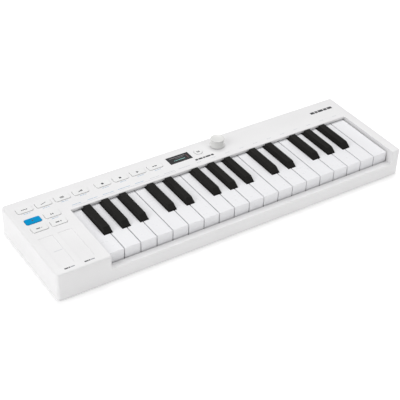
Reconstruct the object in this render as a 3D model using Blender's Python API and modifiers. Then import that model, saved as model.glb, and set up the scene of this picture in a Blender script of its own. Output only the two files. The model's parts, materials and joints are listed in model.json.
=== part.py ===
"""A slim 32-key MIDI controller: case, keys, buttons, encoder, touch strips and boards.

Units are metres. +X runs along the keyboard from its low end to its high end, +Y points
away from the player and +Z is up. The origin is on the table, under the middle of the case.
"""
import math

import bmesh
import bpy
from mathutils import Matrix, Vector

MODEL_NAME = "midi_keyboard"

# Case
WIDTH = 0.4868
DEPTH = 0.145
FOOT_HEIGHT = 0.002
CASE_HEIGHT = 0.0364
WALL = 0.0024
CORNER_RADIUS = 0.004
EDGE_RADIUS = 0.0022
FIT_GAP = 0.0003
SLIVER = 0.0001  # keeps the faces of overlapping cutters off one plane

HALF_WIDTH = WIDTH / 2
HALF_DEPTH = DEPTH / 2
CASE_BOTTOM = FOOT_HEIGHT
DECK = CASE_BOTTOM + CASE_HEIGHT
DECK_UNDERSIDE = DECK - WALL
BELOW = CASE_BOTTOM - 0.010
ABOVE = DECK + 0.020

# Bottom plate, feet and screws
PLATE_THICKNESS = 0.0022
PLATE_RECESS = 0.0004
PLATE_REBATE = 0.0006
PLATE_BOTTOM = CASE_BOTTOM + PLATE_RECESS
PLATE_TOP = PLATE_BOTTOM + PLATE_THICKNESS
FOOT_RADIUS = 0.0065
FOOT_X = 0.2200
FOOT_Y = 0.0580
SCREW_X = (-0.225, -0.115, 0.0, 0.115, 0.225)
SCREW_Y = (-0.040, 0.044)
SCREW_RECESS_RADIUS = 0.0033
SCREW_RECESS_DEPTH = 0.0011

# Keyboard
WHITE_COUNT = 19
PITCH = 0.0213
KEY_GAP = 0.0012
KEYS_LEFT = -0.1755
KEYS_RIGHT = KEYS_LEFT + WHITE_COUNT * PITCH
KEY_FRONT = -HALF_DEPTH + 0.0098
KEY_TOP = CASE_BOTTOM + 0.0317
KEY_BOTTOM = KEY_TOP - 0.0150
KEY_WALL = 0.0014
HINGE_Y = 0.040
HINGE_Z = KEY_BOTTOM + 0.0085
NOTES = "FGABCDE"
NOTES_WITH_SHARP = "FGACD"
SHARP_OFFSET = {"F": -0.0025, "G": 0.0, "A": 0.0025, "C": -0.0019, "D": 0.0019}

BLACK_HALF_WIDTH = 0.0051
BLACK_TOP_HALF_WIDTH = 0.0043
BLACK_FRONT = -0.0300
BLACK_REAR = 0.0228
BLACK_SLOPE = 0.0056
BLACK_SHOULDER = KEY_TOP + 0.0012
BLACK_TOP = KEY_TOP + 0.0064
NOTCH_CLEARANCE = 0.0008

# Openings of the top cover around the keys
BED_LEFT = KEYS_LEFT - 0.0008
BED_RIGHT = KEYS_RIGHT + 0.0010
DECK_EDGE = 0.0256
DECK_LIP_BOTTOM = KEY_TOP + 0.0015
LIP_ROUNDING = 0.0015
LIP_STEPS = 5
RAIL_TOP = CASE_BOTTOM + 0.0180
RAIL_REAR = KEY_FRONT - 0.0010

# Key frame and the contact board that it carries
BOARD_THICKNESS = 0.0016
BOARD_RIBS = (0.0125, -0.0085)
RIB_WIDTH = 0.0020
CONTACT_BOARD_BOTTOM = KEY_BOTTOM - 0.0060
GUIDE_POST_TOP = KEY_BOTTOM - 0.0005

# Buttons
BUTTON_LENGTH = 0.0193
BUTTON_WIDTH = 0.0102
BUTTON_PITCH = 0.0243
BUTTON_CORNER = 0.0018
BUTTON_PROUD = 0.0008
BUTTON_CLEARANCE = 0.0004
BUTTON_TRAVEL = 0.0006
FLANGE_MARGIN = 0.0010
FLANGE_THICKNESS = 0.0010
FLANGE_TOP = DECK_UNDERSIDE - FIT_GAP
REAR_ROW_Y = 0.0521
MIDDLE_ROW_Y = 0.0289
FRONT_ROW_Y = 0.0122
FIRST_BUTTON_X = -0.2226
TRANSPORT_X = -0.1198
ROUND_BUTTON_X = 0.0166
ROUND_BUTTON_RADIUS = 0.0053
BUTTON_NAMES = (
    "button_mode_1", "button_mode_2", "button_mode_3", "button_mode_4",
    "button_record", "button_stop", "button_play", "button_tap",
    "button_shift", "button_hold", "button_octave_down", "button_octave_up",
)

# Encoder
ENCODER_X = 0.0458
ENCODER_Y = 0.0530
SHAFT_RADIUS = 0.0030
KNOB_BASE_RADIUS = 0.0098
KNOB_WAIST_RADIUS = 0.0085
KNOB_TOP_RADIUS = 0.0089
KNOB_HEIGHT = 0.0108
KNOB_LIFT = 0.0008
KNOB_DISH = 0.0008

# Display and touch strips
DISPLAY_X = (-0.0271, 0.0044)
DISPLAY_Y = (0.0450, 0.0594)
STRIP_Y = (-0.0610, -0.0056)
PITCH_STRIP_X = (-0.2330, -0.2155)
MOD_STRIP_X = (-0.2082, -0.1910)
STRIP_DEPTH = 0.0005
INLAY_THICKNESS = 0.0009
INLAY_GAP = 0.0003
INLAYS = (
    ("display_window", DISPLAY_X, DISPLAY_Y, DECK),
    ("pitch_strip", PITCH_STRIP_X, STRIP_Y, DECK - STRIP_DEPTH),
    ("mod_strip", MOD_STRIP_X, STRIP_Y, DECK - STRIP_DEPTH),
)

# Main board and rear sockets
BOARD_TOP = DECK_UNDERSIDE - 0.0054
BOARD_BOTTOM = BOARD_TOP - BOARD_THICKNESS
BOARD_FRONT = 0.0475
SOCKET_Z = CASE_BOTTOM + 0.0200
USB_X = 0.205
PEDAL_X = 0.170
FIRST_MINI_JACK_X = 0.130
MINI_JACK_PITCH = 0.018
MINI_JACK_COUNT = 6
MINI_JACK_BORE = 0.0018
PEDAL_BORE = 0.0033

# Looks: name, colour, roughness, metallic
WHITE = ("case_white", (0.80, 0.80, 0.80), 0.45, 0.0)
KEY_WHITE = ("key_white", (0.84, 0.84, 0.85), 0.28, 0.0)
KEY_BLACK = ("key_black", (0.025, 0.024, 0.023), 0.45, 0.0)
BUTTON_WHITE = ("button_white", (0.80, 0.80, 0.80), 0.55, 0.0)
BUTTON_BLUE = ("button_blue", (0.01, 0.28, 0.62), 0.50, 0.0)
KNOB_WHITE = ("knob_white", (0.76, 0.76, 0.73), 0.22, 0.0)
STRIP_WHITE = ("strip_white", (0.82, 0.82, 0.82), 0.50, 0.0)
DISPLAY_BLACK = ("display_glass", (0.01, 0.01, 0.012), 0.08, 0.0)
FRAME_GREY = ("frame_plastic", (0.22, 0.22, 0.23), 0.60, 0.0)
BOARD_GREEN = ("circuit_board", (0.02, 0.16, 0.08), 0.45, 0.0)
SOCKET_BLACK = ("socket_black", (0.02, 0.02, 0.02), 0.50, 0.0)
SHAFT_STEEL = ("shaft_steel", (0.60, 0.60, 0.62), 0.30, 1.0)
FOOT_RUBBER = ("foot_rubber", (0.03, 0.03, 0.03), 0.90, 0.0)
PLATE_WHITE = ("plate_white", (0.74, 0.74, 0.74), 0.55, 0.0)


# ---------------------------------------------------------------- scene and materials

def clear_scene():
    for obj in list(bpy.data.objects):
        bpy.data.objects.remove(obj, do_unlink=True)


def new_collection(name):
    collection = bpy.data.collections.new(name)
    bpy.context.scene.collection.children.link(collection)
    return collection


def material(look):
    name, colour, roughness, metallic = look
    found = bpy.data.materials.get(name)
    if found:
        return found
    made = bpy.data.materials.new(name)
    made.use_nodes = True
    shader = made.node_tree.nodes["Principled BSDF"]
    shader.inputs["Base Color"].default_value = (*colour, 1.0)
    shader.inputs["Roughness"].default_value = roughness
    shader.inputs["Metallic"].default_value = metallic
    return made


def as_part(obj, name, look, origin=(0.0, 0.0, 0.0)):
    """Name a finished solid, give it its material and put its origin on its joint."""
    obj.name = name
    obj.data.name = name
    obj.data.materials.clear()
    obj.data.materials.append(material(look))
    obj.data.transform(Matrix.Translation(-Vector(origin)))
    obj.location = origin
    PARTS.objects.link(obj)
    return obj


def as_tool(obj):
    """Keep a solid only as a guide for a Boolean."""
    obj.display_type = "WIRE"
    obj.hide_render = True
    TOOLS.objects.link(obj)
    return obj


# ---------------------------------------------------------------- basic solids

def object_from_bmesh(name, bm):
    mesh = bpy.data.meshes.new(name)
    bm.to_mesh(mesh)
    bm.free()
    return bpy.data.objects.new(name, mesh)


def add_cube(bm, x, y, z):
    centre = Vector((sum(x) / 2, sum(y) / 2, sum(z) / 2))
    size = Vector((x[1] - x[0], y[1] - y[0], z[1] - z[0]))
    placed = Matrix.Translation(centre) @ Matrix.Diagonal((*size, 1.0))
    return bmesh.ops.create_cube(bm, size=1.0, matrix=placed)["verts"]


def box(name, x, y, z):
    bm = bmesh.new()
    add_cube(bm, x, y, z)
    return object_from_bmesh(name, bm)


def cylinder(name, centre, radius, length, along="Z", segments=24):
    """A capped cylinder whose middle is at centre."""
    turn = {
        "X": Matrix.Rotation(math.pi / 2, 4, "Y"),
        "Y": Matrix.Rotation(math.pi / 2, 4, "X"),
        "Z": Matrix.Identity(4),
    }[along]
    bm = bmesh.new()
    bmesh.ops.create_cone(
        bm, cap_ends=True, segments=segments, radius1=radius, radius2=radius,
        depth=length, matrix=Matrix.Translation(centre) @ turn,
    )
    obj = object_from_bmesh(name, bm)
    shade_round(obj)
    return obj


def upright_cylinder(name, x, y, z, radius, segments=24):
    centre = (x, y, (z[0] + z[1]) / 2)
    return cylinder(name, centre, radius, z[1] - z[0], segments=segments)


def shade_round(obj):
    obj.data.shade_smooth()
    obj.data.set_sharp_from_angle(angle=math.radians(35))


def rounded_rectangle(x, y, radius, steps=3):
    """Outline points, anticlockwise, with an arc at each corner."""
    corners = (
        (x[1] - radius, y[0] + radius, -90),
        (x[1] - radius, y[1] - radius, 0),
        (x[0] + radius, y[1] - radius, 90),
        (x[0] + radius, y[0] + radius, 180),
    )
    points = []
    for centre_x, centre_y, start in corners:
        for step in range(steps + 1):
            angle = math.radians(start + 90 * step / steps)
            points.append((centre_x + radius * math.cos(angle), centre_y + radius * math.sin(angle)))
    return points


def prism(name, outline, z):
    """A flat outline given a thickness, as one closed mesh."""
    curve = bpy.data.curves.new(name, "CURVE")
    curve.dimensions = "2D"
    curve.fill_mode = "BOTH"
    curve.extrude = (z[1] - z[0]) / 2
    spline = curve.splines.new("POLY")
    spline.points.add(len(outline) - 1)
    for point, (x, y) in zip(spline.points, outline):
        point.co = (x, y, 0.0, 1.0)
    spline.use_cyclic_u = True
    guide = bpy.data.objects.new(name + "_outline", curve)
    bpy.context.scene.collection.objects.link(guide)
    bpy.context.view_layer.update()
    mesh = bpy.data.meshes.new_from_object(guide.evaluated_get(bpy.context.evaluated_depsgraph_get()))
    bpy.data.objects.remove(guide, do_unlink=True)
    bm = bmesh.new()
    bm.from_mesh(mesh)
    bmesh.ops.remove_doubles(bm, verts=bm.verts, dist=1e-6)
    bmesh.ops.translate(bm, verts=bm.verts, vec=(0.0, 0.0, (z[0] + z[1]) / 2))
    bpy.data.meshes.remove(mesh)
    return object_from_bmesh(name, bm)


def along_x(obj, x):
    """Turn a prism drawn as (y, z) so that its thickness runs along X between two places."""
    middle = Matrix.Translation(((x[0] + x[1]) / 2, 0.0, 0.0))
    axes = Matrix(((0.0, 0.0, 1.0, 0.0), (1.0, 0.0, 0.0, 0.0), (0.0, 1.0, 0.0, 0.0), (0.0, 0.0, 0.0, 1.0)))
    obj.data.transform(middle @ axes)
    return obj


def combine(obj, tool, operation):
    as_tool(tool)
    step = obj.modifiers.new(f"{operation.lower()}_{tool.name}", "BOOLEAN")
    step.operation = operation
    step.solver = "EXACT"
    step.object = tool


def cut(obj, tool):
    combine(obj, tool, "DIFFERENCE")


def join(obj, tool):
    combine(obj, tool, "UNION")


def grown(span, margin):
    return (span[0] - margin, span[1] + margin)


def centred(middle, length):
    return (middle - length / 2, middle + length / 2)


# ---------------------------------------------------------------- case

def rounded_case_block():
    """The outer form of the case: rounded in plan and along its top edge."""
    bm = bmesh.new()
    add_cube(bm, (-HALF_WIDTH, HALF_WIDTH), (-HALF_DEPTH, HALF_DEPTH), (CASE_BOTTOM, DECK))
    upright = [edge for edge in bm.edges if edge.calc_length() < CASE_HEIGHT + SLIVER]
    bmesh.ops.bevel(bm, geom=upright, offset=CORNER_RADIUS, segments=6, profile=0.5, affect="EDGES")
    rim = [edge for edge in bm.edges if all(abs(vert.co.z - DECK) < 1e-6 for vert in edge.verts)]
    bmesh.ops.bevel(bm, geom=rim, offset=EDGE_RADIUS, segments=4, profile=0.5, affect="EDGES")
    obj = object_from_bmesh("case_block", bm)
    shade_round(obj)
    return obj


def below(step):
    """A start under the case; each cutter has its own, so that no two ends share a plane."""
    return BELOW - 0.001 * step


def lip_round(name, x):
    """A cutter that rounds the deck's edge behind the keys."""
    centre_y = DECK_EDGE + LIP_ROUNDING
    centre_z = DECK - LIP_ROUNDING
    points = [(centre_y, ABOVE), (DECK_EDGE - SLIVER, ABOVE), (DECK_EDGE - SLIVER, centre_z)]
    for step in range(LIP_STEPS + 1):
        angle = math.radians(180 - 90 * step / LIP_STEPS)
        points.append((centre_y + LIP_ROUNDING * math.cos(angle), centre_z + LIP_ROUNDING * math.sin(angle)))
    half_length = (x[1] - x[0]) / 2
    return along_x(prism(name, points, (-half_length, half_length)), x)


def cut_key_opening(cover):
    """Open the case over the keys, leaving a lip that hangs from the deck behind them."""
    bed = (BED_LEFT, BED_RIGHT)
    tail_space = (DECK_EDGE - SLIVER, DECK_EDGE + WALL + SLIVER)
    cut(cover, box("key_opening", bed, (-HALF_DEPTH - 0.010, DECK_EDGE), (RAIL_TOP, ABOVE)))
    cut(cover, box("key_bed", bed, (RAIL_REAR, DECK_EDGE), (below(0), DECK_LIP_BOTTOM - SLIVER)))
    cut(cover, box("key_tail_space", bed, tail_space, (below(1), DECK_LIP_BOTTOM)))
    cut(cover, lip_round("lip_round", bed))


def hollow_case(cover):
    """Leave walls under the deck, beside the keys and inside the front rail."""
    inner_x = (WALL - HALF_WIDTH, HALF_WIDTH - WALL)
    inner_y = (WALL - HALF_DEPTH, HALF_DEPTH - WALL)
    pod_x = (inner_x[0], BED_LEFT - WALL)
    cheek_x = (BED_RIGHT + WALL, inner_x[1])
    rear_y = (DECK_EDGE + WALL, inner_y[1] - SLIVER)
    rail_x = grown((BED_LEFT, BED_RIGHT), WALL / 2)
    rail_y = (inner_y[0], RAIL_REAR - WALL)
    cut(cover, box("pod_hollow", pod_x, inner_y, (below(2), DECK_UNDERSIDE)))
    cut(cover, box("cheek_hollow", cheek_x, inner_y, (below(3), DECK_UNDERSIDE)))
    cut(cover, box("rear_hollow", grown(inner_x, -SLIVER), rear_y, (below(4), DECK_UNDERSIDE)))
    cut(cover, box("rail_hollow", rail_x, rail_y, (below(5), RAIL_TOP - WALL)))
    rebate_z = (below(6), PLATE_TOP + FIT_GAP)
    cut(cover, box("plate_rebate", grown(inner_x, PLATE_REBATE), grown(inner_y, PLATE_REBATE), rebate_z))


def cut_deck_openings(cover):
    through = (DECK_UNDERSIDE - 0.002, ABOVE)
    for number, (x, y) in enumerate(rectangular_button_places(), start=1):
        outline = button_outline(x, y, BUTTON_CLEARANCE)
        cut(cover, prism(f"button_hole_{number:02d}", outline, through))
    round_radius = ROUND_BUTTON_RADIUS + BUTTON_CLEARANCE
    cut(cover, upright_cylinder("round_button_hole", ROUND_BUTTON_X, REAR_ROW_Y, through, round_radius))
    cut(cover, upright_cylinder("shaft_hole", ENCODER_X, ENCODER_Y, through, SHAFT_RADIUS + 0.0008))
    for name, x, y, top in INLAYS:
        recess = (top - INLAY_THICKNESS - INLAY_GAP, ABOVE)
        cut(cover, box(f"{name}_recess", grown(x, INLAY_GAP), grown(y, INLAY_GAP), recess))
    cut(cover, box("display_light_hole", grown(DISPLAY_X, -0.003), grown(DISPLAY_Y, -0.003), through))


def cut_rear_openings(cover):
    middle_y = HALF_DEPTH - WALL / 2
    for number, x in enumerate(mini_jack_places(), start=1):
        hole = cylinder(f"mini_jack_hole_{number}", (x, middle_y, SOCKET_Z), 0.0036, 0.02, "Y")
        cut(cover, hole)
    cut(cover, cylinder("pedal_jack_hole", (PEDAL_X, middle_y, SOCKET_Z), 0.0052, 0.02, "Y"))
    cut(cover, box("usb_hole", centred(USB_X, 0.0112), centred(middle_y, 0.02), centred(SOCKET_Z, 0.0056)))


def make_top_cover():
    cover = rounded_case_block()
    cut_key_opening(cover)
    hollow_case(cover)
    cut_deck_openings(cover)
    cut_rear_openings(cover)
    as_part(cover, "top_cover", WHITE)


def make_bottom_plate():
    inset = WALL - PLATE_REBATE + FIT_GAP
    x = grown((-HALF_WIDTH, HALF_WIDTH), -inset)
    y = grown((-HALF_DEPTH, HALF_DEPTH), -inset)
    plate = box("plate", x, y, (PLATE_BOTTOM, PLATE_TOP))
    recess = (BELOW, PLATE_BOTTOM + SCREW_RECESS_DEPTH)
    for screw_x in SCREW_X:
        for screw_y in SCREW_Y:
            cut(plate, upright_cylinder("screw_recess", screw_x, screw_y, recess, SCREW_RECESS_RADIUS, 20))
    as_part(plate, "bottom_plate", PLATE_WHITE)


def make_feet():
    top = PLATE_BOTTOM - FIT_GAP
    for side, x in (("left", -FOOT_X), ("right", FOOT_X)):
        for end, y in (("front", -FOOT_Y), ("rear", FOOT_Y)):
            foot = upright_cylinder("foot", x, y, (0.0, top), FOOT_RADIUS)
            as_part(foot, f"foot_{end}_{side}", FOOT_RUBBER)


# ---------------------------------------------------------------- keys

def white_notes():
    return [NOTES[index % len(NOTES)] for index in range(WHITE_COUNT)]


def black_centre_after(index):
    """The middle of the black key between white key index and the next, or None."""
    note = white_notes()[index]
    if index >= WHITE_COUNT - 1 or note not in NOTES_WITH_SHARP:
        return None
    return KEYS_LEFT + (index + 1) * PITCH + SHARP_OFFSET[note]


def white_outline(index, inset):
    """The plan of a white key: a wide head, and a tail that clears the black keys."""
    left = KEYS_LEFT + index * PITCH + KEY_GAP / 2
    right = left + PITCH - KEY_GAP
    reach = BLACK_HALF_WIDTH + NOTCH_CLEARANCE
    before = black_centre_after(index - 1) if index > 0 else None
    after = black_centre_after(index)
    tail_left = left if before is None else before + reach
    tail_right = right if after is None else after - reach
    front = KEY_FRONT + inset
    shoulder = BLACK_FRONT - NOTCH_CLEARANCE - inset
    rear = HINGE_Y - inset
    points = [(left + inset, front), (right - inset, front)]
    if after is not None:
        points += [(right - inset, shoulder), (tail_right - inset, shoulder)]
    points += [(tail_right - inset, rear), (tail_left + inset, rear)]
    if before is not None:
        points += [(tail_left + inset, shoulder), (left + inset, shoulder)]
    return points


def make_white_key(index):
    name = f"white_key_{index + 1:02d}"
    key = prism(name, white_outline(index, 0.0), (KEY_BOTTOM, KEY_TOP))
    hollow = (KEY_BOTTOM - 0.002, KEY_TOP - KEY_WALL)
    cut(key, prism(f"{name}_hollow", white_outline(index, KEY_WALL), hollow))
    middle = KEYS_LEFT + (index + 0.5) * PITCH
    as_part(key, name, KEY_WHITE, origin=(middle, HINGE_Y, HINGE_Z))


def black_key_head(name, centre):
    """A block whose crown narrows upwards and slopes back at the player's end."""
    bm = bmesh.new()
    x = centred(centre, 2 * BLACK_HALF_WIDTH)
    add_cube(bm, x, (BLACK_FRONT, BLACK_REAR), (KEY_BOTTOM, BLACK_SHOULDER))
    bm.faces.ensure_lookup_table()
    top = max(bm.faces, key=lambda face: face.calc_center_median().z)
    crown = bmesh.ops.extrude_face_region(bm, geom=[top])
    bmesh.ops.delete(bm, geom=[top], context="FACES_ONLY")
    for vert in crown["geom"]:
        if isinstance(vert, bmesh.types.BMVert):
            side = 1 if vert.co.x > centre else -1
            vert.co.x = centre + side * BLACK_TOP_HALF_WIDTH
            vert.co.z = BLACK_TOP
            if vert.co.y < 0:
                vert.co.y += BLACK_SLOPE
    return object_from_bmesh(name, bm)


def make_black_key(number, centre):
    name = f"black_key_{number:02d}"
    key = black_key_head(name, centre)
    tail_x = centred(centre, 2 * BLACK_HALF_WIDTH - 0.0006)
    tail_z = (KEY_BOTTOM + 0.0003, BLACK_SHOULDER - 0.0004)
    join(key, box(f"{name}_tail", tail_x, (BLACK_REAR - 0.002, HINGE_Y), tail_z))
    hollow_x = grown(tail_x, -KEY_WALL)
    hollow_y = (BLACK_FRONT + KEY_WALL, HINGE_Y - KEY_WALL)
    hollow_z = (KEY_BOTTOM - 0.002, BLACK_SHOULDER - KEY_WALL)
    cut(key, box(f"{name}_hollow", hollow_x, hollow_y, hollow_z))
    as_part(key, name, KEY_BLACK, origin=(centre, HINGE_Y, HINGE_Z))


def make_keys():
    number = 0
    for index in range(WHITE_COUNT):
        make_white_key(index)
        centre = black_centre_after(index)
        if centre is not None:
            number += 1
            make_black_key(number, centre)


# ---------------------------------------------------------------- key frame and contact board

def frame_profile():
    """The side profile: floor, two board ribs, and the rail that the key tails hinge on."""
    floor = PLATE_TOP + FIT_GAP
    floor_top = floor + 0.0020
    shelf = KEY_BOTTOM - 0.0010
    rail_front = 0.0340
    rail_rear = 0.0448
    points = [
        (-0.0600, floor),
        (rail_rear, floor),
        (rail_rear, KEY_TOP + 0.0006),
        (HINGE_Y + 0.0012, KEY_TOP + 0.0006),
        (HINGE_Y + 0.0012, shelf),
        (rail_front, shelf),
        (rail_front, floor_top),
    ]
    for rib in BOARD_RIBS:
        points += [
            (rib + RIB_WIDTH / 2, floor_top),
            (rib + RIB_WIDTH / 2, CONTACT_BOARD_BOTTOM - FIT_GAP),
            (rib - RIB_WIDTH / 2, CONTACT_BOARD_BOTTOM - FIT_GAP),
            (rib - RIB_WIDTH / 2, floor_top),
        ]
    points.append((-0.0600, floor_top))
    return points


def make_key_frame():
    x = (KEYS_LEFT, KEYS_RIGHT)
    frame = along_x(prism("frame", frame_profile(), centred(0.0, x[1] - x[0])), x)
    bm = bmesh.new()
    for index in range(WHITE_COUNT):
        middle = KEYS_LEFT + (index + 0.5) * PITCH
        add_cube(bm, centred(middle, 0.004), centred(-0.052, 0.003), (PLATE_TOP + 0.001, GUIDE_POST_TOP))
    join(frame, object_from_bmesh("guide_posts", bm))
    as_part(frame, "key_frame", FRAME_GREY)


def make_contact_board():
    """The board under the keys, with the raised strip that the keys press on."""
    x = grown((KEYS_LEFT, KEYS_RIGHT), -0.003)
    y = (min(BOARD_RIBS) - 0.003, max(BOARD_RIBS) + 0.003)
    top = CONTACT_BOARD_BOTTOM + BOARD_THICKNESS
    board = box("contact", x, y, (CONTACT_BOARD_BOTTOM, top))
    strip_z = (top - 0.0005, top + 0.0018)
    join(board, box("dome_strip", grown(x, -0.002), centred(sum(BOARD_RIBS) / 2, 0.006), strip_z))
    as_part(board, "key_contact_board", BOARD_GREEN)


# ---------------------------------------------------------------- buttons

def rectangular_button_places():
    """Middle of each rectangular button: two groups in the rear row, then the pod's own four."""
    rear = [(FIRST_BUTTON_X + step * BUTTON_PITCH, REAR_ROW_Y) for step in range(4)]
    transport = [(TRANSPORT_X + step * BUTTON_PITCH, REAR_ROW_Y) for step in range(4)]
    pod = [
        (FIRST_BUTTON_X + step * BUTTON_PITCH, y)
        for y in (MIDDLE_ROW_Y, FRONT_ROW_Y)
        for step in range(2)
    ]
    return rear + transport + pod


def button_outline(x, y, margin):
    span_x = grown(centred(x, BUTTON_LENGTH), margin)
    span_y = grown(centred(y, BUTTON_WIDTH), margin)
    return rounded_rectangle(span_x, span_y, BUTTON_CORNER + max(margin, 0.0))


def add_button_stem(button, name, x, y):
    stem_z = (BOARD_TOP + BUTTON_TRAVEL + 0.0010, FLANGE_TOP - FLANGE_THICKNESS / 2)
    join(button, upright_cylinder(f"{name}_stem", x, y, stem_z, 0.0017, 12))


def make_rectangular_button(name, x, y, look):
    button = prism(name, button_outline(x, y, 0.0), (FLANGE_TOP - 0.0006, DECK + BUTTON_PROUD))
    flange_z = (FLANGE_TOP - FLANGE_THICKNESS, FLANGE_TOP)
    join(button, prism(f"{name}_flange", button_outline(x, y, FLANGE_MARGIN), flange_z))
    add_button_stem(button, name, x, y)
    as_part(button, name, look, origin=(x, y, DECK + BUTTON_PROUD))


def make_round_button(name, x, y):
    cap_z = (FLANGE_TOP - 0.0006, DECK + BUTTON_PROUD)
    button = upright_cylinder(name, x, y, cap_z, ROUND_BUTTON_RADIUS)
    flange_z = (FLANGE_TOP - FLANGE_THICKNESS, FLANGE_TOP)
    join(button, upright_cylinder(f"{name}_flange", x, y, flange_z, ROUND_BUTTON_RADIUS + FLANGE_MARGIN))
    add_button_stem(button, name, x, y)
    as_part(button, name, BUTTON_WHITE, origin=(x, y, DECK + BUTTON_PROUD))


def make_buttons():
    for name, (x, y) in zip(BUTTON_NAMES, rectangular_button_places()):
        look = BUTTON_BLUE if name == "button_shift" else BUTTON_WHITE
        make_rectangular_button(name, x, y, look)
    make_round_button("button_menu_round", ROUND_BUTTON_X, REAR_ROW_Y)


# ---------------------------------------------------------------- encoder

def make_encoder_shaft():
    z = (BOARD_TOP + 0.0018, DECK + 0.0066)
    shaft = upright_cylinder("shaft", ENCODER_X, ENCODER_Y, z, SHAFT_RADIUS)
    as_part(shaft, "encoder_shaft", SHAFT_STEEL, origin=(ENCODER_X, ENCODER_Y, z[0]))


def make_encoder_knob():
    """A turned knob with a dished top, a waist under its rim, a flared base and a blind bore."""
    height = KNOB_HEIGHT - KNOB_LIFT
    bore = SHAFT_RADIUS + 0.0001
    bore_top = 0.0062
    profile = [
        (0.0, height - KNOB_DISH),
        (KNOB_TOP_RADIUS * 0.60, height - KNOB_DISH * 0.75),
        (KNOB_TOP_RADIUS - 0.0009, height - KNOB_DISH * 0.10),
        (KNOB_TOP_RADIUS - 0.0004, height),
        (KNOB_TOP_RADIUS, height - 0.0005),
        (KNOB_TOP_RADIUS - 0.0001, height - 0.0013),
        (KNOB_WAIST_RADIUS, height - 0.0022),
        (KNOB_WAIST_RADIUS + 0.0002, height * 0.45),
        (KNOB_WAIST_RADIUS + 0.0006, height * 0.20),
        (KNOB_BASE_RADIUS - 0.0002, 0.0007),
        (KNOB_BASE_RADIUS, 0.0004),
        (KNOB_BASE_RADIUS, 0.0),
        (bore, 0.0),
        (bore, bore_top),
        (0.0, bore_top),
    ]
    bm = bmesh.new()
    verts = [bm.verts.new((radius, 0.0, z)) for radius, z in profile]
    for first, second in zip(verts, verts[1:]):
        bm.edges.new((first, second))
    knob = object_from_bmesh("knob", bm)
    turned = knob.modifiers.new("turned", "SCREW")
    turned.axis = "Z"
    turned.angle = 2 * math.pi
    turned.steps = 40
    turned.render_steps = 40
    turned.use_merge_vertices = True
    turned.merge_threshold = 0.00001
    turned.use_smooth_shade = True
    as_part(knob, "encoder_knob", KNOB_WHITE)
    knob.location = (ENCODER_X, ENCODER_Y, DECK + KNOB_LIFT)


# ---------------------------------------------------------------- inlays in the deck

def make_inlays():
    looks = {"display_window": DISPLAY_BLACK, "pitch_strip": STRIP_WHITE, "mod_strip": STRIP_WHITE}
    for name, x, y, top in INLAYS:
        inlay = box(name, x, y, (top - INLAY_THICKNESS, top))
        as_part(inlay, name, looks[name])


# ---------------------------------------------------------------- main board and sockets

def mini_jack_places():
    return [FIRST_MINI_JACK_X - step * MINI_JACK_PITCH for step in range(MINI_JACK_COUNT)]


def make_main_board():
    """The board under the deck and pod, with its soldered sockets and encoder body."""
    left = -HALF_WIDTH + WALL + 0.0015
    right = HALF_WIDTH - WALL - 0.0015
    rear = HALF_DEPTH - WALL - 0.0010
    pod_right = BED_LEFT - WALL - 0.0010
    outline = [(left, -0.064), (pod_right, -0.064), (pod_right, BOARD_FRONT), (right, BOARD_FRONT)]
    outline += [(right, rear), (left, rear)]
    board = prism("board", outline, (BOARD_BOTTOM, BOARD_TOP))
    face = HALF_DEPTH - WALL - FIT_GAP
    body_z = (SOCKET_Z - 0.0040, BOARD_BOTTOM + 0.0004)
    for number, x in enumerate(mini_jack_places(), start=1):
        join(board, box(f"mini_jack_{number}", centred(x, 0.0090), (face - 0.0120, face), body_z))
        bore = cylinder(f"mini_jack_bore_{number}", (x, face, SOCKET_Z), MINI_JACK_BORE, 0.020, "Y", 16)
        cut(board, bore)
    join(board, box("usb_body", centred(USB_X, 0.0100), (face - 0.0080, face), body_z))
    slot_y = (face - 0.0060, face + 0.0100)
    cut(board, box("usb_slot", centred(USB_X, 0.0084), slot_y, centred(SOCKET_Z, 0.0026)))
    encoder_z = (BOARD_TOP - 0.0004, BOARD_TOP + 0.0044)
    join(board, box("encoder_body", centred(ENCODER_X, 0.0120), centred(ENCODER_Y, 0.0110), encoder_z))
    well = (BOARD_TOP + 0.0008, ABOVE)
    cut(board, upright_cylinder("encoder_well", ENCODER_X, ENCODER_Y, well, SHAFT_RADIUS + 0.0004))
    as_part(board, "main_board", BOARD_GREEN)


def make_pedal_jack():
    face = HALF_DEPTH - WALL - FIT_GAP
    body_z = (SOCKET_Z - 0.0068, BOARD_BOTTOM - FIT_GAP)
    jack = box("jack", centred(PEDAL_X, 0.0150), (face - 0.0215, face), body_z)
    cut(jack, cylinder("pedal_jack_bore", (PEDAL_X, face, SOCKET_Z), PEDAL_BORE, 0.0380, "Y"))
    as_part(jack, "pedal_jack", SOCKET_BLACK)


# ---------------------------------------------------------------- build

clear_scene()
PARTS = new_collection(MODEL_NAME)
TOOLS = new_collection(MODEL_NAME + "_cutters")

make_top_cover()
make_bottom_plate()
make_feet()
make_keys()
make_key_frame()
make_contact_board()
make_buttons()
make_encoder_shaft()
make_encoder_knob()
make_inlays()
make_main_board()
make_pedal_jack()
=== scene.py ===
import json
import math

import bmesh
import bpy
from mathutils import Matrix, Vector

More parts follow.
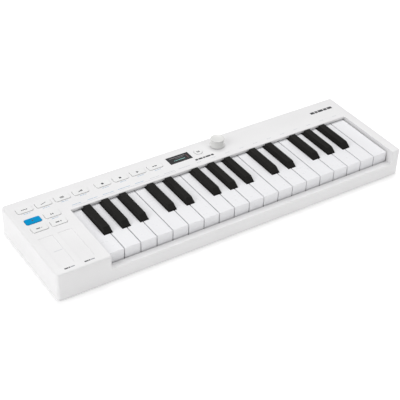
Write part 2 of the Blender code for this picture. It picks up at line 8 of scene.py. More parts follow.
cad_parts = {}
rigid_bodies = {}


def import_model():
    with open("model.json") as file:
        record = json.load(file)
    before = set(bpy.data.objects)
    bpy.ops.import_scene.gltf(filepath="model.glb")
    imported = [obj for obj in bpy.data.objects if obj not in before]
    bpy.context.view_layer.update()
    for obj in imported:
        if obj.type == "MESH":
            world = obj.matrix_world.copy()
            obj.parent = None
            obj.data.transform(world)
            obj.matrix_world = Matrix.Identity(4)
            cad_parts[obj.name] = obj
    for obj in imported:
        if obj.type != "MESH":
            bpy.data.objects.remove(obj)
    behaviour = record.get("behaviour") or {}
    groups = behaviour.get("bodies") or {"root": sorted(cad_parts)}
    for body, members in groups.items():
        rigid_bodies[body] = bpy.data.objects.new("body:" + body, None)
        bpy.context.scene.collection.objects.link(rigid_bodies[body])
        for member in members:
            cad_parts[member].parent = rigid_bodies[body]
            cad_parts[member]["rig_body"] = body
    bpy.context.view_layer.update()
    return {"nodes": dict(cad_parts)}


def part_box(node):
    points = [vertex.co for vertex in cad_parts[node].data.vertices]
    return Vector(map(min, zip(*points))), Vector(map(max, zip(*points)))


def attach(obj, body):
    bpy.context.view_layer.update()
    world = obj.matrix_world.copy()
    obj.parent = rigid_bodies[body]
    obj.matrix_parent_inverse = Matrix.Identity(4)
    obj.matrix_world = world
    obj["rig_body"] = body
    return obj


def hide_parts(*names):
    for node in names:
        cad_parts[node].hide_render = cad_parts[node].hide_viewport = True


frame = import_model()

MM = 0.001
CASE = "case"

# Heights, places and names read from the frame
CASE_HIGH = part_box("top_cover")[1]
DECK_Z = CASE_HIGH.z
PLATE_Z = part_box("bottom_plate")[0].z
WHITE_KEYS = sorted(name for name in frame["nodes"] if name.startswith("white_key"))
BLACK_KEYS = sorted(name for name in frame["nodes"] if name.startswith("black_key"))
BUTTONS = sorted(name for name in frame["nodes"] if name.startswith("button_"))
FEET = sorted(name for name in frame["nodes"] if name.startswith("foot_"))
MODE_BUTTONS = ("button_mode_1", "button_mode_2", "button_mode_3", "button_mode_4")
TRANSPORT_BUTTONS = ("button_record", "button_stop", "button_play", "button_tap")
BLUE_BUTTON = "button_shift"
TOUCH_STRIPS = ("pitch_strip", "mod_strip")

# Places and sizes in the CAD model that no node's box gives, in metres
DECK_EDGE_Y = 0.0256
SOCKET_Z = 0.0220
USB_X = 0.205
PEDAL_JACK_X = 0.170
MINI_JACK_X = (0.130, 0.112, 0.094, 0.076, 0.058, 0.040)
REAR_WALL = 2.4 * MM
JACK_SEAT = 2.1 * MM
SCREW_X = (-0.225, -0.115, 0.0, 0.115, 0.225)
SCREW_Y = (-0.040, 0.044)

# Points closer than this are one point, and faces within this angle are one face
SAME_POINT = 0.002 * MM
SAME_PLANE = math.radians(0.6)

# How far each kind of edge is rounded, and from what angle on
ROUNDED_FROM = math.radians(32)
CASE_ROUNDING = 0.75 * MM
PLATE_ROUNDING = 0.20 * MM
FOOT_ROUNDING = 0.40 * MM
WINDOW_ROUNDING = 0.15 * MM
WHITE_KEY_ROUNDING = 0.35 * MM
BLACK_KEY_ROUNDING = 0.45 * MM
BUTTON_ROUNDING = 0.30 * MM

# Printed marks reach a little into the surface and stand a little proud of it
INK_DEPTH = 0.02 * MM
INK_PROUD = 0.03 * MM

# Middles of the two rows of plain bars on the deck
SMALL_BARS_AT = (0.0176, 0.0385)
LARGE_BARS_AT = (0.2120, 0.0528)

# Camera: where it looks, from which side, and how far away it stands
CAMERA_TARGET = Vector((-0.0220, -0.0137, 0.0200))
CAMERA_DISTANCE = 1.3303
CAMERA_AZIMUTH = math.radians(33.91)
CAMERA_ELEVATION = math.radians(36.53)
CAMERA_ROLL = math.radians(2.09)
CAMERA_LENS_MM = 98.9
CAMERA_REACH = 50.0
SENSOR_MM = 36.0

# Floor and light: metres, and watts for the soft boxes
FLOOR_REACH = 20.0
FLOOR_GLOW = 0.23
WORLD_STRENGTH = 0.40
SOFT_BOXES = {
    "soft_box_left": {"place_at": (-2.0, -0.2, 1.3), "size": (1.6, 1.6), "power": 21.5},
    "soft_box_top": {"place_at": (0.5, 0.8, 2.0), "size": (2.0, 1.4), "power": 25.0},
    "soft_box_front": {"place_at": (0.9, -1.1, 1.4), "size": (1.0, 0.8), "power": 5.0},
}


# ---------------------------------------------------------------- material nodes

# Sockets of a Mix node in colour mode, whose names aren't unique
MIX_FACTOR, MIX_A, MIX_B = 0, 6, 7
MIX_COLOUR = 2

# Nearly all of a noise texture's values lie between these
NOISE_SPAN = (0.3, 0.7)
# Pointiness is 0.5 on a flat surface, and wear sets in between these values
WORN_SPAN = (0.52, 0.62)
# How far a worn edge goes from the plastic's own colour towards white
WORN_PALER = 0.12


def new_material(name):
    material = bpy.data.materials.new(name)
    material.use_nodes = True
    tree = material.node_tree
    return material, tree, tree.nodes["Principled BSDF"]


def noise(tree, scale, detail=3.0, roughness=0.5):
    """Noise over the piece's own coordinates; scale is in repeats a metre."""
    where = tree.nodes.new("ShaderNodeTexCoord")
    texture = tree.nodes.new("ShaderNodeTexNoise")
    texture.inputs["Scale"].default_value = scale
    texture.inputs["Detail"].default_value = detail
    texture.inputs["Roughness"].default_value = roughness
    tree.links.new(where.outputs["Object"], texture.inputs["Vector"])
    return texture.outputs["Fac"]


def remap(tree, value, span, low, high):
    """Map a value's span onto low to high, and hold it at the ends."""
    node = tree.nodes.new("ShaderNodeMapRange")
    node.inputs["From Min"].default_value = span[0]
    node.inputs["From Max"].default_value = span[1]
    node.inputs["To Min"].default_value = low
    node.inputs["To Max"].default_value = high
    tree.links.new(value, node.inputs["Value"])
    return node.outputs["Result"]


def colour_mix(tree, factor, second):
    """A Mix node whose second colour and factor are set; the caller gives it a first colour."""
    mix = tree.nodes.new("ShaderNodeMix")
    mix.data_type = "RGBA"
    mix.inputs[MIX_B].default_value = (*second, 1.0)
    tree.links.new(factor, mix.inputs[MIX_FACTOR])
    return mix


def shade_between(tree, value, dark, light):
    """A colour that drifts between two shades."""
    mix = colour_mix(tree, remap(tree, value, NOISE_SPAN, 0.0, 1.0), light)
    mix.inputs[MIX_A].default_value = (*dark, 1.0)
    return mix.outputs[MIX_COLOUR]


def edge_wear(tree, colour, worn, amount):
    """Blend towards a worn shade where the surface turns sharply outwards."""
    geometry = tree.nodes.new("ShaderNodeNewGeometry")
    pointed = remap(tree, geometry.outputs["Pointiness"], WORN_SPAN, 0.0, amount)
    mix = colour_mix(tree, pointed, worn)
    tree.links.new(colour, mix.inputs[MIX_A])
    return mix.outputs[MIX_COLOUR]


def drift_roughness(tree, shader, value, low, high):
    """Let the roughness drift between two values."""
    tree.links.new(remap(tree, value, NOISE_SPAN, low, high), shader.inputs["Roughness"])


def add_bump(tree, shader, height, distance):
    bump = tree.nodes.new("ShaderNodeBump")
    bump.inputs["Distance"].default_value = distance
    tree.links.new(height, bump.inputs["Height"])
    tree.links.new(bump.outputs["Normal"], shader.inputs["Normal"])


# ---------------------------------------------------------------- kinds of material

def plastic(name, colour, roughness, grain_per_m, grain_mm, tint=0.02, coat=0.0, wear=0.25, gloss=0.45):
    """Moulded plastic: a fine tool grain, slight drift of shade and roughness, paler edges."""
    material, tree, shader = new_material(name)
    dark = [part * (1.0 - tint) for part in colour]
    light = [part * (1.0 + tint) for part in colour]
    worn = [part + (1.0 - part) * WORN_PALER for part in colour]
    shade_drift = noise(tree, 28.0, detail=4.0)
    base = shade_between(tree, shade_drift, dark, light)
    tree.links.new(edge_wear(tree, base, worn, wear), shader.inputs["Base Color"])
    handling = noise(tree, 160.0, detail=5.0, roughness=0.6)
    drift_roughness(tree, shader, handling, roughness - 0.04, roughness + 0.05)
    grain = noise(tree, grain_per_m, detail=2.0)
    add_bump(tree, shader, grain, grain_mm * MM)
    shader.inputs["Specular IOR Level"].default_value = gloss
    if coat:
        shader.inputs["Coat Weight"].default_value = coat
        shader.inputs["Coat Roughness"].default_value = 0.12
    return material


def ink(name, colour):
    """Printed ink, with the slight unevenness of pad printing."""
    material, tree, shader = new_material(name)
    dark = [part * 0.88 for part in colour]
    tree.links.new(shade_between(tree, noise(tree, 900.0), dark, colour), shader.inputs["Base Color"])
    drift_roughness(tree, shader, noise(tree, 400.0), 0.47, 0.63)
    return material


def metal(name, colour, roughness):
    """Plated steel, a little uneven in shade and gloss."""
    material, tree, shader = new_material(name)
    dark = [part * 0.82 for part in colour]
    tree.links.new(shade_between(tree, noise(tree, 220.0), dark, colour), shader.inputs["Base Color"])
    drift_roughness(tree, shader, noise(tree, 1500.0), roughness * 0.75, roughness * 1.3)
    shader.inputs["Metallic"].default_value = 1.0
    return material


def rubber(name, colour):
    """Dull rubber with a fine pebbled surface."""
    material, tree, shader = new_material(name)
    light = [part + 0.025 for part in colour]
    base = shade_between(tree, noise(tree, 350.0, detail=5.0), colour, light)
    tree.links.new(base, shader.inputs["Base Color"])
    drift_roughness(tree, shader, noise(tree, 700.0), 0.72, 0.92)
    add_bump(tree, shader, noise(tree, 2600.0), 0.06 * MM)
    return material


def window_glass(name):
    """A smoked display window, glossy and almost black, with faint handling smears."""
    material, tree, shader = new_material(name)
    base = shade_between(tree, noise(tree, 90.0), (0.006, 0.006, 0.008), (0.012, 0.012, 0.015))
    tree.links.new(base, shader.inputs["Base Color"])
    smears = noise(tree, 120.0, detail=6.0, roughness=0.7)
    drift_roughness(tree, shader, smears, 0.05, 0.16)
    shader.inputs["Coat Weight"].default_value = 0.6
    shader.inputs["Coat Roughness"].default_value = 0.05
    return material


def lit_pixels(name, colour):
    """Part of the screen's picture, which glows a little unevenly."""
    material, tree, shader = new_material(name)
    dim = [part * 0.75 for part in colour]
    unlit = [part * 0.3 for part in colour]
    glow = shade_between(tree, noise(tree, 1800.0), dim, colour)
    tree.links.new(glow, shader.inputs["Emission Color"])
    shader.inputs["Base Color"].default_value = (*unlit, 1.0)
    shader.inputs["Emission Strength"].default_value = 0.8
    return material


def circuit_board(name):
    """Green solder mask over copper tracks."""
    material, tree, shader = new_material(name)
    where = tree.nodes.new("ShaderNodeTexCoord")
    tracks = tree.nodes.new("ShaderNodeTexBrick")
    tracks.inputs["Scale"].default_value = 260.0
    tracks.inputs["Mortar Size"].default_value = 0.03
    tracks.inputs["Color1"].default_value = (0.012, 0.11, 0.055, 1.0)
    tracks.inputs["Color2"].default_value = (0.014, 0.13, 0.06, 1.0)
    tracks.inputs["Mortar"].default_value = (0.03, 0.20, 0.10, 1.0)
    tree.links.new(where.outputs["Object"], tracks.inputs["Vector"])
    tree.links.new(tracks.outputs["Color"], shader.inputs["Base Color"])
    drift_roughness(tree, shader, noise(tree, 500.0), 0.35, 0.5)
    return material


# ---------------------------------------------------------------- the object's materials

CASE_WHITE = plastic(
    "case_white", (0.80, 0.795, 0.80), roughness=0.46, grain_per_m=3800.0, grain_mm=0.030,
)
PLATE_WHITE = plastic(
    "plate_white", (0.72, 0.72, 0.72), roughness=0.52, grain_per_m=2600.0, grain_mm=0.050,
)
KEY_WHITE = plastic(
    "key_white", (0.83, 0.83, 0.85), roughness=0.30, grain_per_m=5200.0, grain_mm=0.006,
    tint=0.012, coat=0.10,
)
KEY_BLACK = plastic(
    "key_black", (0.016, 0.0153, 0.0143), roughness=0.42, grain_per_m=4200.0, grain_mm=0.012,
    tint=0.15, wear=0.02, gloss=0.04,
)
BUTTON_WHITE = plastic(
    "button_white", (0.80, 0.80, 0.80), roughness=0.55, grain_per_m=4600.0, grain_mm=0.020,
)
BUTTON_BLUE = plastic(
    "button_blue", (0.0, 0.29, 0.60), roughness=0.62, grain_per_m=4600.0, grain_mm=0.020,
    tint=0.05, wear=0.0, gloss=0.04,
)
KNOB_WHITE = plastic(
    "knob_white", (0.76, 0.76, 0.745), roughness=0.20, grain_per_m=5000.0, grain_mm=0.003,
    tint=0.01, coat=0.5,
)
STRIP_WHITE = plastic(
    "strip_white", (0.80, 0.795, 0.80), roughness=0.42, grain_per_m=4800.0, grain_mm=0.015,
)
FRAME_GREY = plastic(
    "frame_plastic", (0.10, 0.10, 0.105), roughness=0.60, grain_per_m=2600.0, grain_mm=0.050,
)
SOCKET_BLACK = plastic(
    "socket_black", (0.016, 0.016, 0.017), roughness=0.42, grain_per_m=3600.0, grain_mm=0.020,
    tint=0.10,
)
FOOT_RUBBER = rubber("foot_rubber", (0.020, 0.020, 0.021))
SHAFT_STEEL = metal("shaft_steel", (0.62, 0.62, 0.64), roughness=0.28)
SCREW_STEEL = metal("screw_steel", (0.20, 0.20, 0.21), roughness=0.38)
SOCKET_METAL = metal("socket_metal", (0.66, 0.66, 0.68), roughness=0.25)
DISPLAY_GLASS = window_glass("display_glass")
DISPLAY_CYAN = lit_pixels("display_cyan", (0.26, 0.52, 0.49))
DISPLAY_PALE = lit_pixels("display_pale", (0.25, 0.24, 0.25))
DISPLAY_RED = lit_pixels("display_red", (0.15, 0.06, 0.06))
BOARD_GREEN = circuit_board("circuit_board")
INK_DARK = ink("ink_dark", (0.045, 0.045, 0.05))
INK_BLUE = ink("ink_blue", (0.26, 0.43, 0.60))
INK_GREY = ink("ink_grey", (0.29, 0.30, 0.33))
INK_FAINT = ink("ink_faint", (0.56, 0.58, 0.63))


# ---------------------------------------------------------------- building pieces

def add_to_scene(name, mesh, material):
    obj = bpy.data.objects.new(name, mesh)
    bpy.context.scene.collection.objects.link(obj)
    mesh.materials.clear()
    mesh.materials.append(material)
    return obj


def place(obj, body, slot, *replaced):
    """Let a piece ride on a body, and hide the nodes it stands for; the slot is not used."""
    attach(obj, body)
    if replaced:
        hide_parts(*replaced)


def finished_mesh(name, bm):
    """Turn a bmesh into a mesh with its faces pointing out."""
    bmesh.ops.recalc_face_normals(bm, faces=bm.faces)
    mesh = bpy.data.meshes.new(name)
    bm.to_mesh(mesh)
    bm.free()
    return mesh


def shade_smooth(mesh, sharp_from):
    """Shade smooth, apart from edges that turn by more than this many degrees."""
    mesh.shade_smooth()
    mesh.set_sharp_from_angle(angle=math.radians(sharp_from))


def middle_of(node):
    """The middle of a node's box, seen from above."""
    low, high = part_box(node)
    return (low.x + high.x) / 2, (low.y + high.y) / 2


def clean_copy(node):
    """The CAD solid's surface with its flat faces rejoined, as a new mesh."""
    bm = bmesh.new()
    bm.from_mesh(frame["nodes"][node].data)
    bmesh.ops.remove_doubles(bm, verts=bm.verts, dist=SAME_POINT)
    bmesh.ops.dissolve_limit(bm, angle_limit=SAME_PLANE, verts=bm.verts, edges=bm.edges)
    bm.verts.index_update()
    points = [vert.co.copy() for vert in bm.verts]
    faces = [[vert.index for vert in face.verts] for face in bm.faces]
    bm.free()
    mesh = bpy.data.meshes.new(node + "_fine")
    mesh.from_pydata(points, [], faces)
    return mesh


def soften(obj, radius, segments):
    """Round every edge a little, the way a mould does."""
    shade_smooth(obj.data, sharp_from=40)
    rounding = obj.modifiers.new("rounding", "BEVEL")
    rounding.width = radius
    rounding.segments = segments
    rounding.limit_method = "ANGLE"
    rounding.angle_limit = ROUNDED_FROM
    rounding.harden_normals = True


def refined(node, material, slot, radius, segments=3):
    """A finer piece that stands for one CAD node and moves with its body."""
    piece = add_to_scene(node + "_fine", clean_copy(node), material)
    soften(piece, radius, segments)
    place(piece, frame["nodes"][node]["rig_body"], slot, node)


def turned(name, profile, centre, material, steps, axis="Z"):
    """A piece turned from a profile of (radius, height) points, outer side top to bottom."""
    bm = bmesh.new()
    verts = [bm.verts.new((radius, 0.0, height)) for radius, height in profile]
    edges = [bm.edges.new(pair) for pair in zip(verts, verts[1:])]
    bmesh.ops.spin(
        bm, geom=verts + edges, cent=(0, 0, 0), axis=(0, 0, 1),
        angle=2 * math.pi, steps=steps, use_merge=True,
    )
    bmesh.ops.remove_doubles(bm, verts=bm.verts, dist=SAME_POINT)
    turn = Matrix.Rotation(-math.pi / 2, 4, "X") if axis == "Y" else Matrix.Identity(4)
    bm.transform(Matrix.Translation(centre) @ turn)
    mesh = finished_mesh(name, bm)
    shade_smooth(mesh, sharp_from=38)
    return add_to_scene(name, mesh, material)


def join_rings(bm, first, second):
    """Four-sided faces between two closed rings with the same number of points."""
    for side in range(len(first)):
        after = (side + 1) % len(first)
        bm.faces.new((first[side], first[after], second[after], second[side]))


def tray(name, x, y, levels, material):
    """A closed slab whose top is built from nested rectangles, each an (inset, height)."""
    bm = bmesh.new()
    rings = []
    for inset, height in levels:
        corners = (
            (x[0] + inset, y[0] + inset), (x[1] - inset, y[0] + inset),
            (x[1] - inset, y[1] - inset), (x[0] + inset, y[1] - inset),
        )
        rings.append([bm.verts.new((*corner, height)) for corner in corners])
    for outer, inner in zip(rings, rings[1:]):
        join_rings(bm, outer, inner)
    bm.faces.new(rings[-1])
    bm.faces.new(list(reversed(rings[0])))
    mesh = finished_mesh(name, bm)
    shade_smooth(mesh, sharp_from=40)
    return add_to_scene(name, mesh, material)


def arc(centre, radius, start, end, steps):
    """Points on an arc about a centre, from one angle in degrees to another."""
    points = []
    for step in range(steps + 1):
        turn = math.radians(start + (end - start) * step / steps)
        points.append((centre[0] + radius * math.cos(turn), centre[1] + radius * math.sin(turn)))
    return points


# ---------------------------------------------------------------- case, keys and buttons

def make_case():
    refined("top_cover", CASE_WHITE, "case_white", CASE_ROUNDING)
    refined("bottom_plate", PLATE_WHITE, "plate_white", PLATE_ROUNDING, segments=2)
    for foot in FEET:
        refined(foot, FOOT_RUBBER, "foot_rubber", FOOT_ROUNDING)
    refined("display_window", DISPLAY_GLASS, "display_glass", WINDOW_ROUNDING, segments=2)


def make_touch_strips():
    """Each touch surface fills its recess and curves up a little at its border."""
    fill = 0.26 * MM
    rise = 0.18 * MM
    step_width = 0.4 * MM
    steps = 5
    for strip in TOUCH_STRIPS:
        low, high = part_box(strip)
        x = (low.x - fill, high.x + fill)
        y = (low.y - fill, high.y + fill)
        levels = [(0.0, low.z), (0.0, high.z + rise)]
        for step in range(1, steps + 1):
            levels.append((step_width * step, high.z + rise * (1 - step / steps) ** 2))
        piece = tray(strip + "_fine", x, y, levels, STRIP_WHITE)
        place(piece, CASE, "strip_white", strip)


def make_keys():
    for key in WHITE_KEYS:
        refined(key, KEY_WHITE, "key_white", WHITE_KEY_ROUNDING)
    for key in BLACK_KEYS:
        refined(key, KEY_BLACK, "key_black", BLACK_KEY_ROUNDING)


def button_slot(button):
    return "button_blue" if button == BLUE_BUTTON else "button_white"


def make_buttons():
    for button in BUTTONS:
        material = BUTTON_BLUE if button == BLUE_BUTTON else BUTTON_WHITE
        refined(button, material, button_slot(button), BUTTON_ROUNDING)


def knob_profile(base, height):
    """Half of the knob's section: dished top, round rim, groove, waist, flared base and bore."""
    rim = base - 0.9 * MM
    edge = 0.6 * MM
    dish = 0.8 * MM
    waist = base - 1.3 * MM
    groove = waist - 0.25 * MM
    groove_top = height - 1.45 * MM
    groove_bottom = height - 1.9 * MM
    bore = 3.2 * MM
    bore_top = 5.9 * MM
    inside = rim - 2 * edge
    dish_points = (0.0, 0.3, 0.5, 0.7, 0.85, 0.95)
    profile = [(inside * part, height - dish * (1 - part ** 2)) for part in dish_points]
    profile += arc((rim - edge, height - edge), edge, 120, -50, steps=9)
    profile += [(groove, groove_top), (groove, groove_bottom), (waist, groove_bottom - 0.3 * MM)]
    profile += [(waist + 0.2 * MM, height * 0.45), (waist + 0.5 * MM, height * 0.22)]
    profile += [(base - 0.35 * MM, 1.0 * MM), (base, 0.5 * MM), (base, 0.15 * MM)]
    profile += [(base - 0.15 * MM, 0.0), (bore, 0.0), (bore, bore_top), (0.0, bore_top)]
    return profile


def make_knob():
    """The push encoder's knob."""
    low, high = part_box("encoder_knob")
    profile = knob_profile((high.x - low.x) / 2, high.z - low.z)
    centre = (*middle_of("encoder_knob"), low.z)
    knob = turned("encoder_knob_fine", profile, centre, KNOB_WHITE, steps=96)
    place(knob, "encoder_knob", "knob_white", "encoder_knob")


# ---------------------------------------------------------------- printed marks (outlines in millimetres)

def rectangle(x, y, width, height):
    return [
        (x - width / 2, y - height / 2), (x + width / 2, y - height / 2),
        (x + width / 2, y + height / 2), (x - width / 2, y + height / 2),
    ]


def disc(radius):
    points = 20
    turns = [2 * math.pi * step / points for step in range(points)]
    return [(radius * math.cos(turn), radius * math.sin(turn)) for turn in turns]


def triangle(size):
    return [(-size * 0.45, -size * 0.55), (size * 0.55, 0.0), (-size * 0.45, size * 0.55)]


def bars(lengths, thickness, gap=0.7):
    """A row of plain bars, centred on the origin, standing in for a label."""
    start = -(sum(lengths) + gap * (len(lengths) - 1)) / 2
    outlines = []
    for length in lengths:
        outlines.append(rectangle(start + length / 2, 0.0, length, thickness))
        start += length + gap
    return outlines


def printed(name, outlines, centre, surface_z, material, body, slot):
    """Flat printed marks: outlines in millimetres about a centre, as one thin raised piece."""
    bm = bmesh.new()
    low = surface_z - INK_DEPTH
    for outline in outlines:
        verts = [bm.verts.new((centre[0] + x * MM, centre[1] + y * MM, low)) for x, y in outline]
        raised = bmesh.ops.extrude_face_region(bm, geom=[bm.faces.new(verts)])
        top = [item for item in raised["geom"] if isinstance(item, bmesh.types.BMVert)]
        bmesh.ops.translate(bm, verts=top, vec=(0.0, 0.0, INK_DEPTH + INK_PROUD))
    place(add_to_scene(name, finished_mesh(name, bm), material), body, slot)


def printed_on_deck(name, outlines, centre, material):
    printed(name, outlines, centre, DECK_Z, material, CASE, "case_white")


def button_icons():
    """Plain pictograms for the top of each button."""
    steps = [rectangle(-3.0 + 2.0 * i, 0.0, 1.4, 1.5) for i in range(4)]
    rising = [rectangle(-2.7 + 1.8 * i, -0.9 + 0.6 * i, 1.5, 1.0) for i in range(4)]
    stack = [rectangle(0.0, -1.2 + 1.2 * i, 5.2, 0.7) for i in range(3)]
    stairs = [rectangle(-2.4 + 1.6 * i, -0.6 + 0.4 * i, 1.2, 0.8 + 0.8 * i) for i in range(4)]
    pair = [rectangle(x, 0.0, 1.3, 2.4) for x in (-1.4, 1.0)]
    octave = rectangle(-1.4, 0.0, 4.6, 1.6)
    minus = rectangle(2.9, 0.0, 1.8, 0.6)
    plus = [minus, rectangle(2.9, 0.75, 0.6, 0.9), rectangle(2.9, -0.75, 0.6, 0.9)]
    menu = [rectangle(0.0, 1.1 * i, 4.4, 0.6) for i in (-1, 0, 1)]
    return {
        "button_mode_1": steps,
        "button_mode_2": rising,
        "button_mode_3": stack,
        "button_mode_4": stairs,
        "button_record": [disc(1.7)],
        "button_stop": [rectangle(0.0, 0.0, 2.9, 2.9)],
        "button_play": [triangle(3.4)],
        "button_tap": bars((2.0, 3.4), 1.6),
        "button_shift": [triangle(2.8)],
        "button_hold": pair,
        "button_octave_down": [octave, minus],
        "button_octave_up": [octave] + plus,
        "button_menu_round": menu,
    }


def print_button_icons():
    for button, outlines in button_icons().items():
        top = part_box(button)[1].z
        slot = button_slot(button)
        printed(button + "_icon", outlines, middle_of(button), top, INK_DARK, button, slot)


def print_second_functions():
    """Blue marks in front of the buttons, for their shifted functions."""
    in_front = 1.5 * MM
    for number, button in enumerate(MODE_BUTTONS + TRANSPORT_BUTTONS + ("button_hold",)):
        centre = (middle_of(button)[0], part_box(button)[0].y - in_front)
        first = 2.4 + 0.8 * (number % 3)
        marks = bars((first, 5.2 - first, 2.0), 0.8)
        printed_on_deck(f"{button}_second_mark", marks, centre, INK_BLUE)


def print_key_functions():
    """Marks behind the white keys: the lowest are blue, and those of the upper keys are short."""
    row_y = DECK_EDGE_Y + 7.2 * MM
    blue_keys = 5
    long_keys = 8
    for number, key in enumerate(WHITE_KEYS):
        length = 11.0 + 1.6 * (number % 4)
        lengths = (length * 0.6, length * 0.4) if number < long_keys else (2.4, 3.2)
        material = INK_BLUE if number < blue_keys else INK_FAINT
        centre = (middle_of(key)[0], row_y)
        printed_on_deck(f"{key}_function_mark", bars(lengths, 0.7), centre, material)


def print_function_rules():
    """Fine rules in front of the marks, each along a run of white keys."""
    rule_y = DECK_EDGE_Y + 4.4 * MM
    margin = 3.0
    runs = ((0, 2), (3, 6))
    for number, (first, last) in enumerate(runs, start=1):
        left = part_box(WHITE_KEYS[first])[0].x
        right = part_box(WHITE_KEYS[last])[1].x
        rule = rectangle(0.0, 0.0, (right - left) / MM - 2 * margin, 0.4)
        printed_on_deck(f"function_rule_{number}", [rule], ((left + right) / 2, rule_y), INK_FAINT)


def print_strip_marks():
    """Marks in front of the touch strips, and the centre line of the spring-back one."""
    in_front = 4.8 * MM
    for strip in TOUCH_STRIPS:
        centre = (middle_of(strip)[0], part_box(strip)[0].y - in_front)
        dark = [rectangle(-4.0, 0.0, 4.8, 1.9), rectangle(-0.3, 0.0, 1.6, 1.9)]
        printed_on_deck(f"{strip}_mark_dark", dark, centre, INK_DARK)
        pale = [rectangle(3.6, 0.0, 5.0, 1.5)]
        printed_on_deck(f"{strip}_mark_pale", pale, centre, INK_GREY)
    surface_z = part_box("pitch_strip")[1].z
    line = [rectangle(2.6, 0.0, 11.0, 0.6)]
    centre = middle_of("pitch_strip")
    printed("pitch_strip_centre", line, centre, surface_z, INK_FAINT, CASE, "strip_white")


def print_deck_bars():
    """Two rows of plain bars where a name would be, without any lettering."""
    small = bars((3.8, 5.6, 3.0, 7.0, 3.8), thickness=2.9, gap=0.9)
    printed_on_deck("deck_bar_small", small, SMALL_BARS_AT, INK_DARK)
    large = bars((6.0, 4.0, 8.0, 5.0, 7.0), thickness=4.4, gap=1.2)
    printed_on_deck("deck_bar_right", large, LARGE_BARS_AT, INK_DARK)


def make_display_picture():
    """Generic content on the screen: two dim lines, a brighter value line and a level bar."""
    value_y = -2.3
    value = [rectangle(x, value_y, width, 0.9) for x, width in ((-7.6, 1.9), (-4.6, 2.8), (2.4, 10.0))]
    picture = {
        "display_lines": ([rectangle(-1.0, 3.9, 22.0, 0.7), rectangle(1.0, 1.5, 12.0, 0.5)], DISPLAY_PALE),
        "display_value": (value, DISPLAY_CYAN),
        "display_level": ([rectangle(11.6, 0.0, 0.8, 8.0)], DISPLAY_RED),
    }
    surface_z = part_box("display_window")[1].z
    centre = middle_of("display_window")
    for name, (outlines, material) in picture.items():
        printed(name, outlines, centre, surface_z, material, CASE, "display_glass")


# ---------------------------------------------------------------- rear sockets and underside

def socket_bush(name, x, hole, ring, material):
    """The ring around a jack, seen in the opening of the rear wall."""
    depth = 1.9 * MM
    chamfer = 0.15 * MM
    shoulder = 0.5 * MM
    profile = [
        (hole + chamfer, depth), (ring - shoulder, depth), (ring - chamfer, depth - chamfer),
        (ring, depth - shoulder), (ring, 0.0), (hole, 0.0), (hole, depth - chamfer),
        (hole + chamfer, depth),
    ]
    centre = (x, CASE_HIGH.y - JACK_SEAT, SOCKET_Z)
    bush = turned(name, profile, centre, material, steps=48, axis="Y")
    place(bush, CASE, "socket_black")


def make_rear_sockets():
    socket_bush("pedal_jack_ring", PEDAL_JACK_X, 3.3 * MM, 5.0 * MM, SOCKET_METAL)
    for number, x in enumerate(MINI_JACK_X, start=1):
        socket_bush(f"mini_jack_ring_{number}", x, 1.85 * MM, 3.4 * MM, SOCKET_BLACK)


def slot_outline(width, height, corner):
    """Points of a rectangle with round corners about the origin."""
    points = []
    for quarter, (side_x, side_y) in enumerate(((1, 1), (-1, 1), (-1, -1), (1, -1))):
        centre = (side_x * (width / 2 - corner), side_y * (height / 2 - corner))
        points += arc(centre, corner, 90 * quarter, 90 * (quarter + 1), steps=5)
    return points


def slot_ring(name, outer, inner, back, front, material):
    """The solid between two slot outlines, standing upright in the USB opening."""
    bm = bmesh.new()
    rings = []
    for outline, y in ((outer, back), (outer, front), (inner, front), (inner, back)):
        rings.append([bm.verts.new((USB_X + x, y, SOCKET_Z + z)) for x, z in outline])
    for first, second in zip(rings, rings[1:] + rings[:1]):
        join_rings(bm, first, second)
    mesh = finished_mesh(name, bm)
    shade_smooth(mesh, sharp_from=35)
    place(add_to_scene(name, mesh, material), CASE, "socket_black")


def make_usb_socket():
    """A steel shell with rounded ends around a black tongue, and a black seal around the shell."""
    width = 8.1 * MM
    height = 2.35 * MM
    corner = 1.1 * MM
    wall = 0.25 * MM
    play = 0.05 * MM
    margin = 2.0 * MM
    inside_of_case = CASE_HIGH.y - REAR_WALL
    front = inside_of_case - 0.35 * MM
    back = front - 5.4 * MM
    outer = slot_outline(width, height, corner)
    inner = slot_outline(width - 2 * wall, height - 2 * wall, corner - wall)
    slot_ring("usb_shell", outer, inner, back, front, SOCKET_METAL)
    seal = slot_outline(width + 2 * margin, height + 2 * margin, corner + margin / 2)
    slot_ring("usb_seal", seal, outer, front + play, inside_of_case - play, SOCKET_BLACK)
    make_usb_tongue(back, front - 0.6 * MM)


def make_usb_tongue(back, front):
    half_width = 2.9 * MM
    half_thickness = 0.3 * MM
    x = (USB_X - half_width, USB_X + half_width)
    levels = [(0.0, SOCKET_Z - half_thickness), (0.0, SOCKET_Z + half_thickness)]
    tongue = tray("usb_tongue", x, (back, front), levels, SOCKET_BLACK)
    place(tongue, CASE, "socket_black")


def make_screws():
    """A screw in each of the bottom plate's recesses."""
    places = [(x, y) for x in SCREW_X for y in SCREW_Y]
    for number, (x, y) in enumerate(places, start=1):
        make_screw(f"plate_screw_{number:02d}", x, y)


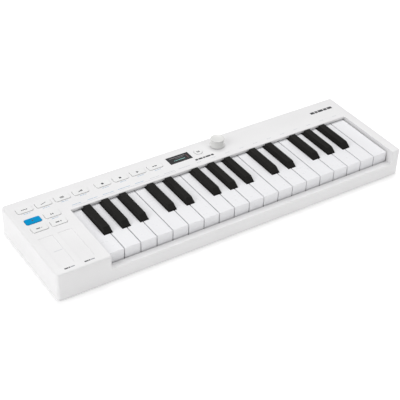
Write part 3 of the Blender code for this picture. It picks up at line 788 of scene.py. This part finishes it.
def make_screw(name, x, y):
    """A countersunk screw with a cross in its head, which looks down."""
    radius = 2.9 * MM
    top = 0.95 * MM
    profile = [
        (0.0, top), (radius * 0.6, top), (radius, 0.30 * MM), (radius, 0.12 * MM),
        (radius - 0.2 * MM, 0.0), (0.0, -0.08 * MM),
    ]
    head_z = PLATE_Z + 0.12 * MM
    screw = turned(name, profile, (x, y, head_z), SCREW_STEEL, steps=32)
    slot_length = 3.2 * MM
    slot_width = 0.55 * MM
    slot_depth = 0.9 * MM
    slot_turn = 0.4
    size = Matrix.Diagonal((slot_length, slot_width, slot_depth, 1.0))
    middle = Matrix.Translation((x, y, head_z + 0.03 * MM))
    for turn in (slot_turn, slot_turn + math.pi / 2):
        bm = bmesh.new()
        bmesh.ops.create_cube(bm, size=1.0, matrix=middle @ Matrix.Rotation(turn, 4, "Z") @ size)
        cutter = bpy.data.objects.new(name + "_slot", finished_mesh(name + "_slot", bm))
        bpy.context.scene.collection.objects.link(cutter)
        carve(screw, cutter)
    place(screw, CASE, "plate_white")


def carve(obj, cutter):
    """Cut one solid out of another and keep only the result."""
    cut = obj.modifiers.new("cut", "BOOLEAN")
    cut.object = cutter
    cut.solver = "EXACT"
    graph = bpy.context.evaluated_depsgraph_get()
    carved = bpy.data.meshes.new_from_object(obj.evaluated_get(graph))
    obj.modifiers.clear()
    obj.data = carved
    bpy.data.objects.remove(cutter, do_unlink=True)


def dress_inner_nodes():
    """The CAD nodes that stay as they are get their own materials."""
    looks = {
        "key_frame": FRAME_GREY,
        "key_contact_board": BOARD_GREEN,
        "main_board": BOARD_GREEN,
        "pedal_jack": SOCKET_BLACK,
        "encoder_shaft": SHAFT_STEEL,
    }
    for node, material in looks.items():
        mesh = frame["nodes"][node].data
        mesh.materials.clear()
        mesh.materials.append(material)


# ---------------------------------------------------------------- floor, light and camera

def make_floor():
    """A white floor that glows a little, so that it stays white in the light of the soft boxes."""
    mesh = bpy.data.meshes.new("floor")
    corners = [(x * FLOOR_REACH, y * FLOOR_REACH, 0) for x, y in ((-1, -1), (1, -1), (1, 1), (-1, 1))]
    mesh.from_pydata(corners, [], [(0, 1, 2, 3)])
    material, _, shader = new_material("floor_white")
    shader.inputs["Base Color"].default_value = (0.95, 0.95, 0.95, 1.0)
    shader.inputs["Roughness"].default_value = 0.9
    shader.inputs["Emission Color"].default_value = (1.0, 1.0, 1.0, 1.0)
    shader.inputs["Emission Strength"].default_value = FLOOR_GLOW
    add_to_scene("floor", mesh, material)


def add_soft_box(name, place_at, size, power):
    """A rectangular light aimed at the middle of the object."""
    light = bpy.data.lights.new(name, "AREA")
    light.shape = "RECTANGLE"
    light.size = size[0]
    light.size_y = size[1]
    light.energy = power
    lamp = bpy.data.objects.new(name, light)
    lamp.location = place_at
    lamp.rotation_euler = (-Vector(place_at)).to_track_quat("-Z", "Y").to_euler()
    bpy.context.scene.collection.objects.link(lamp)


def make_lights():
    world = bpy.data.worlds.new("studio")
    world.use_nodes = True
    background = world.node_tree.nodes["Background"]
    background.inputs["Color"].default_value = (1.0, 1.0, 1.0, 1.0)
    background.inputs["Strength"].default_value = WORLD_STRENGTH
    bpy.context.scene.world = world
    for name, settings in SOFT_BOXES.items():
        add_soft_box(name, **settings)


def make_camera():
    """Aim by azimuth and elevation, then roll about the line of sight."""
    flat = math.cos(CAMERA_ELEVATION)
    forward = Vector((
        math.sin(CAMERA_AZIMUTH) * flat, math.cos(CAMERA_AZIMUTH) * flat, -math.sin(CAMERA_ELEVATION),
    ))
    level_right = Vector((math.cos(CAMERA_AZIMUTH), -math.sin(CAMERA_AZIMUTH), 0.0))
    level_up = level_right.cross(forward)
    right = level_right * math.cos(CAMERA_ROLL) + level_up * math.sin(CAMERA_ROLL)
    up = right.cross(forward)
    data = bpy.data.cameras.new("camera")
    data.sensor_width = SENSOR_MM
    data.lens = CAMERA_LENS_MM
    data.clip_end = CAMERA_REACH
    camera = bpy.data.objects.new("camera", data)
    turn = Matrix((right, up, -forward)).transposed()
    camera.matrix_world = Matrix.Translation(CAMERA_TARGET - forward * CAMERA_DISTANCE) @ turn.to_4x4()
    bpy.context.scene.collection.objects.link(camera)
    bpy.context.scene.camera = camera


def keep_plain_colours():
    """Show colours as they are lit, without a film curve."""
    bpy.context.scene.view_settings.view_transform = "Standard"
    bpy.context.scene.view_settings.look = "None"


keep_plain_colours()
make_camera()
make_lights()
make_floor()
make_case()
make_touch_strips()
make_keys()
make_buttons()
make_knob()
print_button_icons()
print_second_functions()
print_key_functions()
print_function_rules()
print_strip_marks()
print_deck_bars()
make_display_picture()
make_rear_sockets()
make_usb_socket()
make_screws()
dress_inner_nodes()
